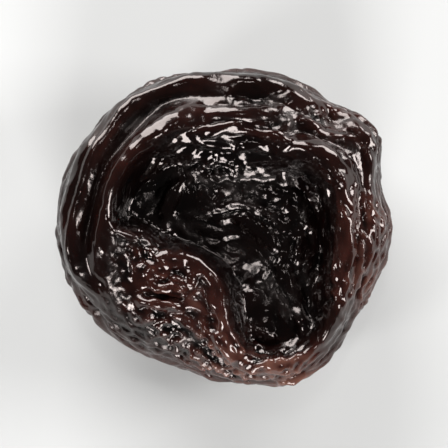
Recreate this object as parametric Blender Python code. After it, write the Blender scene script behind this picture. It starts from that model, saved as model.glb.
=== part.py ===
"""One prune, a plum dried until its skin folds: a squat body with a rolled rim round a sunken middle."""

import math
from typing import NamedTuple

import bmesh
import bpy
import numpy as np
from mathutils import kdtree

MM = 0.001  # every size below is in millimetres

# Driving dimensions
LENGTH = 37.0  # along X
WIDTH = 35.0  # along Y
HEIGHT = 17.5  # from the surface it lies on to the highest fold

# The plump body under the folds, before it is fitted to the driving dimensions
MEAN_RADIUS = 17.6
WAIST = 9.0  # height of the widest level
TOP_RISE = 8.3
TOP_SQUARENESS = 2.9  # 2 is an ellipse, more is boxier
UNDER_DROP = 9.3
UNDER_SQUARENESS = 2.35
FLAT_CUT = 0.35  # how much the surface it lies on flattens the underside

# Swells and dents of the outline seen from above: direction in degrees, height, half width in degrees
OUTLINE_SWELLS = (
    (0, 0.4, 20),
    (20, -0.5, 12),
    (38, 2.0, 13),
    (100, -0.8, 25),
    (180, 0.5, 35),
    (218, -0.9, 14),
    (255, -2.2, 24),
    (302, 1.0, 14),
    (340, -0.7, 14),
)

# The middle of the rim, from which the places of the bowl, spots and folds are measured
RIM_MIDDLE = (0.0, -0.5)

# The sunken middle
BOWL_EDGE = (
    (-12.3, 1.8), (-11.4, 4.8), (-9.3, 7.5), (-6.3, 9.5), (-2.4, 10.3), (2.0, 10.1), (5.4, 9.0),
    (8.4, 8.0), (10.8, 6.2), (12.1, 3.2), (12.4, -1.0), (12.4, -6.0), (11.8, -10.0), (9.9, -12.9),
    (7.0, -14.0), (3.9, -13.3), (2.0, -11.3), (1.1, -8.6), (0.4, -6.4), (-1.4, -4.6), (-3.8, -3.6),
    (-6.2, -3.3), (-9.0, -2.0), (-11.8, -1.0),
)
BOWL_DROP = 4.6
BOWL_WALL = 2.2  # width of the slope from the rim down to the floor
EASY_WALL = 3.6  # extra width of the slope on the easy side
EASY_SIDE = 85  # its direction in degrees
EASY_SPREAD = 42  # its half width in degrees


class Spot(NamedTuple):
    """A soft round place seen from above, and how much of something there is in its middle."""

    x: float
    y: float
    radius: float
    amount: float


# Dents, by their depth, and swells, by a negative one
HOLLOWS = (
    Spot(1.5, -2.6, 5.0, 2.0),
    Spot(-3.2, -0.6, 2.6, 0.8),
    Spot(10.8, -2.5, 3.2, 0.8),
    Spot(-8.6, 3.0, 3.2, 0.4),
    Spot(6.0, -11.4, 2.8, 0.7),
    Spot(10.9, 12.9, 1.5, 1.5),
    Spot(8.0, 12.4, 1.1, -0.5),
    Spot(12.2, 6.4, 0.7, -0.5),
    Spot(8.9, 1.6, 0.8, -0.6),
    Spot(6.2, 6.1, 0.7, -0.4),
    Spot(5.9, -1.2, 0.7, -0.4),
    Spot(4.2, -4.6, 0.9, -0.8),
    Spot(6.0, -10.5, 0.9, -0.6),
    Spot(-7.6, -10.7, 0.9, -0.45),
    Spot(-7.1, -12.4, 0.8, -0.4),
    Spot(-5.4, -11.6, 0.8, -0.35),
    Spot(-6.4, -13.8, 0.8, -0.4),
    Spot(-1.6, -14.2, 0.9, -0.5),
    Spot(-3.6, -13.6, 0.8, -0.35),
    Spot(-8.9, -2.8, 0.6, -0.45),
    Spot(-7.8, -3.6, 0.6, -0.4),
    Spot(-9.2, -4.4, 0.6, -0.45),
    Spot(-10.3, -3.4, 0.6, -0.4),
    Spot(-10.9, -5.2, 0.7, -0.4),
    Spot(-1.1, 13.9, 0.6, -0.25),
    Spot(0.9, 13.9, 0.6, -0.25),
    Spot(2.5, 14.3, 0.6, -0.25),
    Spot(5.8, 12.0, 1.0, -0.8),
    Spot(-3.6, 6.4, 0.8, -0.5),
    Spot(-0.8, 5.6, 0.9, -0.5),
    Spot(0.8, 6.6, 0.8, -0.5),
    Spot(-7.6, 9.4, 0.6, -0.4),
)

# Where the skin is smoother, by the share of the wrinkles' height that is lost
SMOOTH_SPOTS = (
    Spot(-9.2, 3.8, 3.0, 0.4),
    Spot(4.5, 7.2, 3.0, 0.3),
    Spot(-3.0, -1.0, 2.6, 0.5),
    Spot(6.0, -10.4, 1.4, 0.7),
    Spot(3.0, -3.0, 4.0, 0.3),
    Spot(9.6, 9.0, 3.2, 0.5),
)

# Where small rounded bumps cover the skin, by their height
PEBBLY_SPOTS = (
    Spot(3.0, -15.0, 3.8, 0.45),
    Spot(8.5, -15.2, 3.8, 0.48),
    Spot(-2.0, -14.0, 2.5, 0.35),
    Spot(9.0, 13.6, 2.0, 0.25),
    Spot(1.0, 15.0, 2.0, 0.15),
    Spot(-8.8, -3.9, 2.6, 0.36),
    Spot(-6.0, -11.5, 3.5, 0.32),
    Spot(-4.5, -7.0, 2.5, 0.2),
    Spot(-1.6, 6.0, 2.6, 0.25),
    Spot(4.0, 1.8, 4.0, 0.2),
    Spot(7.6, -3.4, 3.4, 0.2),
    Spot(15.0, -6.0, 4.0, 0.32),
    Spot(15.6, 3.0, 3.0, 0.2),
    Spot(15.0, 11.0, 2.5, 0.2),
)
PEBBLE = 1.5  # the distance between two bumps


class Fold(NamedTuple):
    """A ridge that follows a curve over the top, or a crease straight down if its height is negative."""

    points: tuple
    height: float
    half_width: float
    lean: float = 0.0  # how far the crest is pushed sideways, to the left of the curve's run


FOLD_HEIGHT = 1.3  # of a fold of height 1
FOLD_END = 5.0  # the length over which a long fold rises at each end
FOLD_UNEVENNESS = 0.3  # how much a fold's height varies along it
CREST_FLATNESS = 2.5  # 2 makes a ridge a parabola across, more makes its crest flatter
CREST_SMOOTHNESS = 0.6  # the share of the wrinkles' height that is lost on the crest of a ridge

FOLDS = (
    # the bead round the left and the top of the rim
    Fold(((-14.2, -10.8), (-16.2, -6.6), (-17.1, -1.0), (-16.7, 3.4), (-15.5, 7.4), (-13.4, 11.2),
          (-10.6, 14.0), (-7.3, 15.5), (-3.6, 16.2), (0.6, 16.4), (4.4, 16.2), (7.6, 15.4), (10.4, 14.2)),
         0.7, 1.6, 0.4),
    # the thin ridge inside the bead
    Fold(((-14.4, -8.8), (-15.5, -6.4), (-15.9, -3.4), (-15.7, 0.0), (-15.3, 3.2), (-14.6, 6.0),
          (-13.6, 8.2), (-12.5, 10.2), (-11.1, 12.0), (-9.4, 13.4), (-7.4, 14.4), (-5.0, 15.0)), 0.5, 0.6),
    # the crease between the thin ridge and the lip
    Fold(((-14.4, -4.2), (-14.4, -1.0), (-13.9, 2.2), (-13.2, 5.2), (-11.7, 8.1), (-9.9, 10.6),
          (-7.8, 12.9), (-5.0, 14.2), (-2.0, 14.8)), -0.45, 0.6),
    # the lip on the left, over the bowl
    Fold(((-12.9, -8.0), (-13.4, -5.8), (-13.4, -2.4), (-13.0, 1.2), (-12.5, 4.0), (-11.4, 6.5),
          (-9.6, 8.8), (-7.5, 10.7), (-5.8, 11.8), (-4.0, 12.5), (-1.8, 12.8)), 0.85, 1.7, -0.3),
    # thin folds over the top of the bowl
    Fold(((-5.0, 12.3), (-2.4, 12.6), (0.3, 12.6), (2.6, 12.9), (4.8, 13.4), (7.0, 14.2)), 0.55, 0.9),
    Fold(((-5.4, 9.2), (-3.4, 10.0), (-1.4, 10.6), (0.8, 11.1), (3.0, 11.6)), 0.5, 0.8),
    Fold(((-2.0, 14.3), (0.6, 14.5), (3.4, 14.6), (6.4, 14.9)), -0.4, 0.5),
    Fold(((1.0, 10.5), (3.0, 10.8), (4.9, 10.3), (7.2, 9.9)), 0.45, 0.7),
    Fold(((0.4, 8.8), (2.6, 9.2), (4.4, 8.8)), 0.4, 0.5),
    Fold(((8.2, 7.4), (9.8, 7.2), (11.2, 6.2), (12.0, 4.8)), 0.5, 0.8),
    # the right-hand lip, from the top down to the lower right
    Fold(((5.0, 7.6), (6.7, 9.0), (9.0, 9.5), (11.1, 8.7), (12.6, 7.4), (13.3, 5.6), (13.5, 3.0),
          (13.5, -1.0), (13.5, -5.0), (13.3, -8.6), (12.4, -11.4), (10.8, -13.4)), 0.95, 1.6, -0.3),
    Fold(((4.6, 10.4), (6.4, 11.1), (9.0, 11.4), (11.6, 10.5), (13.6, 9.0)), -0.6, 0.8),
    # ridges down the right-hand rim, and the creases between them
    Fold(((7.0, 14.0), (8.9, 15.0), (10.9, 14.6), (12.6, 13.5), (14.2, 12.5), (15.4, 10.8), (15.8, 8.7),
          (16.2, 6.0), (16.7, 3.0), (16.9, 0.4)), 0.6, 0.9),
    Fold(((13.4, 8.8), (14.1, 7.2), (14.8, 5.0), (15.6, 2.8), (16.1, 0.6), (16.3, -2.4), (15.8, -5.8)),
         0.5, 0.6),
    Fold(((13.9, 5.6), (14.6, 3.0), (15.1, 0.4), (15.2, -2.4), (15.0, -5.4), (14.6, -8.4), (13.7, -11.0)),
         0.45, 0.6),
    Fold(((14.6, 8.8), (15.2, 6.6), (15.9, 4.4), (16.6, 2.0), (17.2, -1.4), (16.9, -4.8)), 0.45, 0.55),
    Fold(((14.2, 1.6), (14.3, -1.6), (14.1, -4.8), (14.2, -7.6)), 0.4, 0.5),
    Fold(((14.0, 6.6), (14.2, 3.2), (14.3, -0.6), (14.2, -4.6), (14.0, -8.0)), -0.45, 0.35),
    Fold(((14.7, 8.6), (15.4, 5.8), (16.0, 3.2), (16.5, 0.8)), -0.4, 0.35),
    Fold(((11.8, -14.4), (13.3, -13.0), (14.5, -11.5)), 0.6, 0.9),
    # below the dimple
    Fold(((6.6, 12.6), (8.6, 12.0), (11.0, 11.3), (13.2, 11.1), (14.8, 10.9)), 0.5, 0.8),
    # the flap that folds in from the lower left: its upper edge, its lip and the ridge behind the lip
    Fold(((-12.9, -0.4), (-11.6, -1.1), (-10.2, -1.6), (-8.4, -1.6), (-6.9, -2.1)), 0.7, 1.1),
    Fold(((-8.4, -7.2), (-6.6, -5.3), (-5.3, -4.2), (-3.9, -3.4), (-2.2, -4.2), (-0.7, -5.6), (0.1, -7.0),
          (0.4, -9.2), (0.9, -11.5), (2.2, -13.6), (4.2, -14.7), (7.0, -15.1), (9.6, -14.8), (11.8, -13.4)),
         0.75, 1.4, 0.4),
    Fold(((-1.4, -9.0), (-1.0, -10.6), (-0.3, -12.1), (1.2, -13.6), (2.9, -14.8), (5.0, -15.6),
          (7.0, -16.1)), 0.5, 0.8),
    Fold(((-0.6, -8.4), (-0.3, -10.2), (0.4, -12.0)), -0.4, 0.4),
    # across the flap
    Fold(((-2.7, -4.9), (-3.1, -6.1), (-3.4, -7.4)), 0.45, 0.8),
    Fold(((-5.6, -6.3), (-4.4, -6.7), (-3.2, -7.0)), 0.45, 0.7),
    Fold(((-8.6, -7.0), (-5.6, -7.5), (-2.4, -7.8)), 0.5, 0.7),
    Fold(((-9.8, -9.7), (-7.8, -9.0), (-4.4, -9.2), (-1.9, -8.8)), 0.6, 0.9),
    Fold(((-9.4, -8.3), (-6.0, -8.2), (-2.6, -8.4)), -0.6, 0.3),
    # on the floor of the bowl
    Fold(((-4.7, 5.6), (-5.6, 4.0), (-6.4, 1.9), (-7.5, -0.5)), 0.5, 0.9),
    Fold(((0.6, 0.8), (2.2, 0.9), (3.8, 0.2), (5.2, -0.8), (6.8, -1.4)), 0.45, 0.9),
    Fold(((9.0, 5.4), (10.1, 3.8), (10.9, 1.8)), 0.7, 0.5),
    Fold(((8.6, -7.6), (9.9, -9.4), (11.0, -11.5), (11.5, -13.0)), 0.8, 0.9),
    Fold(((1.6, -11.1), (3.1, -12.8), (5.0, -13.5), (6.9, -13.5), (8.8, -12.8), (9.8, -11.4)), 0.5, 0.7),
    Fold(((3.2, -11.6), (4.4, -11.2), (6.0, -11.6), (7.1, -12.2)), 0.5, 0.7),
    Fold(((7.0, -2.2), (6.5, -3.6), (6.9, -5.2)), 0.4, 0.6),
    Fold(((8.9, 0.0), (8.4, -1.6), (8.8, -3.4)), 0.4, 0.6),
    # the crease under the right-hand lip
    Fold(((4.8, 7.3), (7.0, 6.2), (8.9, 4.5), (10.4, 2.0), (11.2, -1.5), (11.5, -4.5), (11.5, -7.5),
          (11.0, -9.6)), -0.9, 0.8),
)


class Wrinkles(NamedTuple):
    """A family of wrinkles that run along the folds, or stray from them."""

    spacing: float
    height: float
    sharpness: float  # how narrow the valleys are against the ridges
    top_share: float  # how much of the height is left on the top
    stray: float  # how far their runs wander, in radians
    stray_size: float  # over what distance they wander
    seed: int


WRINKLES = (
    Wrinkles(spacing=7.0, height=0.75, sharpness=1.0, top_share=0.0, stray=0.9, stray_size=14, seed=5),
    Wrinkles(spacing=3.4, height=0.76, sharpness=1.3, top_share=0.43, stray=0.8, stray_size=9, seed=3),
    Wrinkles(spacing=2.0, height=0.48, sharpness=1.3, top_share=0.75, stray=1.1, stray_size=5, seed=8),
)
SKIN_AREA = 3300.0  # about
WAVE_GAP = 0.6  # the least distance between two waves' centres, in spacings
WAVE_REACH = 1.8  # how far a wave is felt, in spacings
CANDIDATES = 30  # places tried for a centre, for each square of the spacing
SETTLING_ROUNDS = 5
DRIFT_WAVES = 14
JUMBLE_SHARES = (0.85, 1.0, 1.2)  # the lengths of a jumble's waves, as shares of its size

CURVE_STRIDE = 8  # a curve's nearest point is first looked for among every eighth one

# The mesh
BALL_SUBDIVISIONS = 7
TRIANGLES = 11000
SKIN_COLOUR = (0.028, 0.010, 0.007, 1)


def smoothstep(low, high, value):
    t = np.clip((value - low) / (high - low), 0, 1)
    return t * t * (3 - 2 * t)


def unit(vectors):
    return vectors / np.maximum(np.linalg.norm(vectors, axis=1, keepdims=True), 1e-12)


def smooth_curve(points, closed=False, step=0.04):
    """Points a step apart on a Catmull-Rom curve through the given ones."""
    points = np.array(points, float)
    if closed:
        padded = np.vstack([points[-1], points, points[:2]])
    else:
        padded = np.vstack([2 * points[0] - points[1], points, 2 * points[-1] - points[-2]])
    pieces = []
    for a, b, c, d in zip(padded, padded[1:], padded[2:], padded[3:]):
        t = np.linspace(0, 1, max(2, math.ceil(np.linalg.norm(c - b) / step)), endpoint=False)[:, None]
        pieces.append(b + (c - a) * t / 2 + (2 * a - 5 * b + 4 * c - d) * t**2 / 2
                      + (3 * b - a - 3 * c + d) * t**3 / 2)
    if not closed:
        pieces.append(points[-1:])
    return np.vstack(pieces)


def tangents_of(curve, closed=False):
    if closed:
        run = np.roll(curve, -1, axis=0) - np.roll(curve, 1, axis=0)
    else:
        run = np.gradient(curve, axis=0)
    return unit(run)


def along_and_across(curve, tangents, places):
    """For each place: how far along the curve its nearest point is, how far past an end it lies, its
    distance to the left of the curve, and the curve's direction there."""
    lengths = np.concatenate([[0], np.cumsum(np.linalg.norm(np.diff(curve, axis=0), axis=1))])
    gaps = ((places[:, None, :] - curve[None, ::CURVE_STRIDE, :]) ** 2).sum(axis=2)
    around = gaps.argmin(axis=1)[:, None] * CURVE_STRIDE + np.arange(-CURVE_STRIDE, CURVE_STRIDE + 1)
    around %= len(curve)
    gaps = ((places[:, None, :] - curve[around]) ** 2).sum(axis=2)
    nearest = around[np.arange(len(places)), gaps.argmin(axis=1)]
    offset = places - curve[nearest]
    run = tangents[nearest]
    forward = (offset * run).sum(axis=1)
    across = run[:, 0] * offset[:, 1] - run[:, 1] * offset[:, 0]
    along = lengths[nearest] + forward
    beyond = np.maximum(0, np.maximum(-along, along - lengths[-1]))
    return np.clip(along, 0, lengths[-1]), beyond, across, run, lengths[-1]


def bump_at(angle, centre, half_width):
    """1 in the direction of centre, falling off over half_width to either side, both in degrees."""
    away = np.angle(np.exp(1j * (angle - math.radians(centre))))
    return np.exp(-((away / math.radians(half_width)) ** 2))


def from_rim(points):
    """Places seen from above, measured from the middle of the rim."""
    return points[:, :2] - RIM_MIDDLE


def bump_round(points, spot):
    """1 in the middle of a spot, falling off over its radius."""
    return np.exp(-((from_rim(points) - (spot.x, spot.y)) ** 2).sum(axis=1) / spot.radius**2)


def outline_radius(angle):
    radius = np.full_like(angle, MEAN_RADIUS)
    for centre, height, half_width in OUTLINE_SWELLS:
        radius += height * bump_at(angle, centre, half_width)
    return radius


def section():
    """The body's half section from the top's middle to the underside's, as radius shares and heights
    at even steps of arc length."""
    steps = np.linspace(0, math.pi / 2, 200)
    top = np.stack([np.sin(steps) ** (2 / TOP_SQUARENESS),
                    WAIST + TOP_RISE * np.cos(steps) ** (2 / TOP_SQUARENESS)], axis=1)
    under = np.stack([np.cos(steps) ** (2 / UNDER_SQUARENESS),
                      WAIST - UNDER_DROP * np.sin(steps) ** (2 / UNDER_SQUARENESS)], axis=1)
    line = np.vstack([top, under[1:]])
    run = np.hypot(np.diff(line[:, 0]) * MEAN_RADIUS, np.diff(line[:, 1]))
    share = np.concatenate([[0], np.cumsum(run)])
    return share / share[-1], line[:, 0], line[:, 1]


def plump_body(directions):
    """Points of the body without folds, for unit directions from its middle."""
    polar = np.arccos(np.clip(directions[:, 2], -1, 1)) / math.pi
    angle = np.arctan2(directions[:, 1], directions[:, 0])
    share, radii, heights = section()
    radius = np.interp(polar, share, radii) * outline_radius(angle)
    height = np.interp(polar, share, heights)
    return np.stack([radius * np.cos(angle), radius * np.sin(angle), height], axis=1)


def depth_in_bowl(points):
    """Distance inside the bowl's edge, negative outside it."""
    edge = smooth_curve(BOWL_EDGE, closed=True)
    across = along_and_across(edge, tangents_of(edge, closed=True), from_rim(points))[2]
    return -across


def normals_of(form, directions, step=0.01):
    """Outward normals of a form made from directions, by small steps to either side."""
    one = unit(np.cross(directions, np.array([[0.31, 0.17, 0.94]])))
    two = np.cross(directions, one)
    slope_one = form(unit(directions + step * one)) - form(unit(directions - step * one))
    slope_two = form(unit(directions + step * two)) - form(unit(directions - step * two))
    return unit(np.cross(slope_one, slope_two))


def folded_body(directions):
    """Points of the body with its bowl, hollows and main folds."""
    body = plump_body(directions)
    normals = normals_of(plump_body, directions)
    angle = np.arctan2(body[:, 1], body[:, 0])
    on_top = smoothstep(WAIST, WAIST + 3.0, body[:, 2])
    upward = smoothstep(0.1, 0.75, normals[:, 2])
    wall = BOWL_WALL + EASY_WALL * bump_at(angle, EASY_SIDE, EASY_SPREAD)
    drop = BOWL_DROP * smoothstep(-0.3, 1, depth_in_bowl(body) / wall)
    for hollow in HOLLOWS:
        drop += hollow.amount * bump_round(body, hollow)
    plan = from_rim(body)
    uneven = 1 + FOLD_UNEVENNESS * drift(body, 6.0, 41)
    body[:, 2] -= on_top * drop
    for fold in FOLDS:
        height = FOLD_HEIGHT * fold.height
        push = normals if height > 0 else np.broadcast_to((0.0, 0.0, 1.0), normals.shape)
        landing = plan + height * push[:, :2]
        curve = smooth_curve(fold.points)
        reach = 4 * fold.half_width
        inside = (landing > curve.min(axis=0) - reach) & (landing < curve.max(axis=0) + reach)
        near = np.flatnonzero(inside.all(axis=1) & (upward > 0))
        along, beyond, across, run, length = along_and_across(curve, tangents_of(curve), landing[near])
        taper = smoothstep(0, min(0.35 * length, FOLD_END), np.minimum(along, length - along))
        away = np.hypot(across, beyond) / fold.half_width
        if height > 0:
            profile = np.clip(1 - away**CREST_FLATNESS, 0, 1)
        else:
            profile = 1 / np.cosh(np.minimum(away, 20)) ** 2
        rise = upward[near] * uneven[near] * taper * profile
        body[near] += height * rise[:, None] * push[near]
        body[near, 0] -= fold.lean * rise * run[:, 1]
        body[near, 1] += fold.lean * rise * run[:, 0]
    return body


def drift(points, wavelength, seed):
    """Smooth noise of about that wavelength, from -1 to 1: a sum of seeded plane waves."""
    draw = np.random.default_rng(seed)
    waves = draw.normal(size=(DRIFT_WAVES, 3))
    waves *= 2 * math.pi / wavelength / np.linalg.norm(waves, axis=1, keepdims=True)
    phases = draw.uniform(0, 2 * math.pi, DRIFT_WAVES)
    return np.cos(points @ waves.T + phases).mean(axis=1) * 2


def jumble(points, size, seed):
    """Smooth noise like drift, of waves of unlike lengths, so that its bumps of about that size stand in
    no rows."""
    parts = [drift(points, size * share, seed + index) for index, share in enumerate(JUMBLE_SHARES)]
    return sum(parts) / math.sqrt(len(parts))


def even_directions(count):
    """Unit directions spread evenly by the golden angle."""
    index = np.arange(count) + 0.5
    height = 1 - 2 * index / count
    angle = index * math.pi * (3 - math.sqrt(5))
    ring = np.sqrt(1 - height**2)
    return np.stack([ring * np.cos(angle), ring * np.sin(angle), height], axis=1)


def wrinkle_runs(centres, normals, family):
    """The direction in which wrinkles run at each centre: along the folds on the top, round the sides,
    and anyhow underneath, always straying a little."""
    round_body = unit(np.stack([-centres[:, 1], centres[:, 0], np.zeros(len(centres))], axis=1))
    east = unit(round_body - normals * (round_body * normals).sum(axis=1, keepdims=True))
    north = np.cross(normals, east)
    under = smoothstep(6.0, 1.5, centres[:, 2])
    in_bowl = smoothstep(1, 4, depth_in_bowl(centres)) * (centres[:, 2] > WAIST)
    loose = 1.2 * under * drift(centres, 14.0, family.seed)
    loose += 3.0 * in_bowl * drift(centres, 7.0, family.seed + 4)
    turn = 0.35 * np.exp(2j * loose)
    on_top = smoothstep(WAIST + 1, WAIST + 4, centres[:, 2])
    for fold in FOLDS:
        curve = smooth_curve(fold.points)
        beyond, across, run = along_and_across(curve, tangents_of(curve), from_rim(centres))[1:4]
        lifted = np.column_stack([run, np.zeros(len(run))])
        angle = np.arctan2((lifted * north).sum(axis=1), (lifted * east).sum(axis=1))
        near = on_top * np.exp(-((across**2 + beyond**2) / 2.2**2))
        turn = turn + near * np.exp(2j * angle)
    angle = np.angle(turn) / 2 + family.stray * drift(centres, family.stray_size, family.seed + 2)
    return unit(east * np.cos(angle)[:, None] + north * np.sin(angle)[:, None])


def ripples(points, family):
    """Height at each point, from about -1 to 1, of one family of wrinkles: overlapping waves whose
    phases are settled against their neighbours' so that the crests join up."""
    spacing = family.spacing
    directions = even_directions(int(CANDIDATES * SKIN_AREA / spacing**2))
    directions = directions[spread_out(folded_body(directions), WAVE_GAP * spacing)]
    centres = folded_body(directions)
    normals = normals_of(folded_body, directions)
    waves = np.cross(normals, wrinkle_runs(centres, normals, family)) * 2 * math.pi / spacing
    waves *= 1 + 0.35 * drift(centres, 3 * spacing, family.seed + 1)[:, None]
    phases = np.random.default_rng(family.seed).uniform(0, 2 * math.pi, len(centres))
    near_centres = neighbours_of(centres, centres, WAVE_REACH * spacing)
    for _ in range(SETTLING_ROUNDS):
        for index, near in enumerate(near_centres):
            gap = centres[index] - centres[near]
            agree = waves[near] @ waves[index]
            told = np.sign(agree) * (phases[near] + (gap * waves[near]).sum(axis=1))
            weight = np.exp(-(gap**2).sum(axis=1) / spacing**2) * np.abs(agree)
            weight[near == index] = 0
            phases[index] = np.angle((weight * np.exp(1j * told)).sum())
    total = np.zeros(len(points))
    weights = np.full(len(points), 0.05)
    near_points = neighbours_of(centres, points, WAVE_REACH * spacing)
    for index, near in enumerate(near_points):
        gap = points[near] - centres[index]
        weight = np.exp(-(gap**2).sum(axis=1) / (0.75 * spacing) ** 2)
        total[near] += weight * np.cos(phases[index] + gap @ waves[index])
        weights[near] += weight
    wave = total / weights
    folded = 2 * np.sqrt(np.clip((1 + wave) / 2, 0, 1) + 0.01) - 1.2
    fade = 0.8 + 0.5 * drift(points, 3.5 * spacing, family.seed + 3)
    return fade * (wave + family.sharpness * (folded - wave))


def spread_out(points, gap):
    """The indices of points that are at least a gap apart and fill the surface."""
    tree = kdtree.KDTree(len(points))
    for index, point in enumerate(points):
        tree.insert(point, index)
    tree.balance()
    free = np.ones(len(points), bool)
    kept = []
    for index, point in enumerate(points):
        if free[index]:
            kept.append(index)
            free[[near for _, near, _ in tree.find_range(point, gap)]] = False
    return kept


def neighbours_of(centres, points, reach):
    """For each centre, the indices of the points within reach of it."""
    tree = kdtree.KDTree(len(points))
    for index, point in enumerate(points):
        tree.insert(point, index)
    tree.balance()
    return [np.array([index for _, index, _ in tree.find_range(centre, reach)], int) for centre in centres]


def crest_share(points):
    """1 on the crest of a ridge, falling off to its feet."""
    share = np.zeros(len(points))
    plan = from_rim(points)
    for fold in FOLDS:
        if fold.height > 0:
            curve = smooth_curve(fold.points)
            reach = 2 * fold.half_width
            inside = (plan > curve.min(axis=0) - reach) & (plan < curve.max(axis=0) + reach)
            near = np.flatnonzero(inside.all(axis=1))
            beyond, across = along_and_across(curve, tangents_of(curve), plan[near])[1:3]
            away = np.hypot(across, beyond) / fold.half_width
            share[near] = np.maximum(share[near], np.exp(-2 * away**2))
    return share * smoothstep(WAIST, WAIST + 4, points[:, 2])


def wrinkle_strength(points):
    """How strong the wrinkles are from place to place: weak on the rim's left and top, on the crests of
    ridges and in a few smooth spots, none where it lies."""
    angle = np.arctan2(points[:, 1], points[:, 0])
    radius = np.hypot(points[:, 0], points[:, 1]) / outline_radius(angle)
    on_top = smoothstep(WAIST + 1, WAIST + 4, points[:, 2])
    left = 0.5 + 0.5 * np.cos(angle - math.radians(155))
    rim = on_top * smoothstep(0.58, 0.7, radius) * smoothstep(0.25, 0.75, left)
    strength = (1 - 0.7 * rim) * (1 - CREST_SMOOTHNESS * crest_share(points))
    for spot in SMOOTH_SPOTS:
        strength *= 1 - spot.amount * bump_round(points, spot)
    strength *= 0.85 + 0.3 * drift(points, 9.0, 21)
    off_resting_spot = np.linalg.norm(points * (1, 1, 2), axis=1)
    return strength * smoothstep(5.0, 9.0, off_resting_spot)


def pebbles(points):
    """How high the small rounded bumps stand."""
    height = sum(spot.amount * bump_round(points, spot) for spot in PEBBLY_SPOTS)
    return height * (1 - CREST_SMOOTHNESS * crest_share(points)) * jumble(points, PEBBLE, 17)


def outward_normals(points, faces):
    """Unit normals of a closed mesh of triangles at its points."""
    corners = points[faces]
    flat = np.cross(corners[:, 1] - corners[:, 0], corners[:, 2] - corners[:, 0])
    normals = np.zeros_like(points)
    for corner in range(3):
        np.add.at(normals, faces[:, corner], flat)
    return unit(normals)


def prune_points(directions, faces):
    """Points of the whole prune, with its wrinkles, in millimetres."""
    points = folded_body(directions)
    normals = outward_normals(points, faces)
    strength = wrinkle_strength(points)
    on_top = smoothstep(WAIST, WAIST + 4, points[:, 2])
    for family in WRINKLES:
        height = family.height * strength * (1 - (1 - family.top_share) * on_top)
        points = points + normals * (height * ripples(points, family))[:, None]
    return points + normals * (on_top * pebbles(points))[:, None]


def even_ball():
    """Unit directions and triangles of an even ball."""
    ball = bmesh.new()
    bmesh.ops.create_icosphere(ball, subdivisions=BALL_SUBDIVISIONS, radius=1)
    directions = np.array([vertex.co for vertex in ball.verts])
    faces = np.array([[vertex.index for vertex in face.verts] for face in ball.faces])
    ball.free()
    return unit(directions), faces


def object_from(name, points, faces):
    mesh = bpy.data.meshes.new(name)
    mesh.from_pydata(points.tolist(), [], faces.tolist())
    mesh.update()
    thing = bpy.data.objects.new(name, mesh)
    bpy.context.scene.collection.objects.link(thing)
    return thing


def skin_material():
    material = bpy.data.materials.new("prune_skin")
    material.use_nodes = True
    skin = material.node_tree.nodes["Principled BSDF"]
    skin.inputs["Base Color"].default_value = SKIN_COLOUR
    skin.inputs["Roughness"].default_value = 0.28
    skin.inputs["Metallic"].default_value = 0.0
    material.diffuse_color = SKIN_COLOUR
    return material


def thinned(thing):
    """Swap the object's mesh for one with fewer triangles, which keeps its folds."""
    thinning = thing.modifiers.new("fewer triangles", "DECIMATE")
    thinning.ratio = TRIANGLES / len(thing.data.polygons)
    bpy.context.view_layer.update()
    evaluated = thing.evaluated_get(bpy.context.evaluated_depsgraph_get())
    thing.data = bpy.data.meshes.new_from_object(evaluated)
    thing.modifiers.clear()


def fit_to_size(thing):
    """Scale and move the mesh so that it has the driving dimensions once its underside is cut flat."""
    mesh = thing.data
    points = np.array([vertex.co for vertex in mesh.vertices])
    low = points.min(axis=0)
    high = points.max(axis=0)
    low[2] += FLAT_CUT
    middle = (low + high) / 2
    middle[2] = low[2]
    points = (points - middle) * np.array([LENGTH, WIDTH, HEIGHT]) / (high - low) * MM
    mesh.vertices.foreach_set("co", points.ravel())
    mesh.update()


def cut_flat(thing):
    """Cut the underside flat where the prune lies on a surface."""
    bpy.ops.mesh.primitive_cube_add(size=2 * LENGTH * MM, location=(0, 0, -LENGTH * MM))
    table = bpy.context.object
    table.name = "table_cutter"
    table.hide_render = True
    table.display_type = "WIRE"
    cut = thing.modifiers.new("flat spot", "BOOLEAN")
    cut.operation = "DIFFERENCE"
    cut.object = table


def main():
    for thing in list(bpy.data.objects):
        bpy.data.objects.remove(thing, do_unlink=True)
    directions, faces = even_ball()
    prune = object_from("prune", prune_points(directions, faces), faces)
    thinned(prune)
    fit_to_size(prune)
    cut_flat(prune)
    prune.data.materials.append(skin_material())


main()
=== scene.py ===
"""The looks of one prune: its finely wrinkled skin, sticky gloss, floor, light and camera."""

import math
from typing import NamedTuple

import bmesh
import bpy
import numpy as np
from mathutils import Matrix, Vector, kdtree


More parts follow.
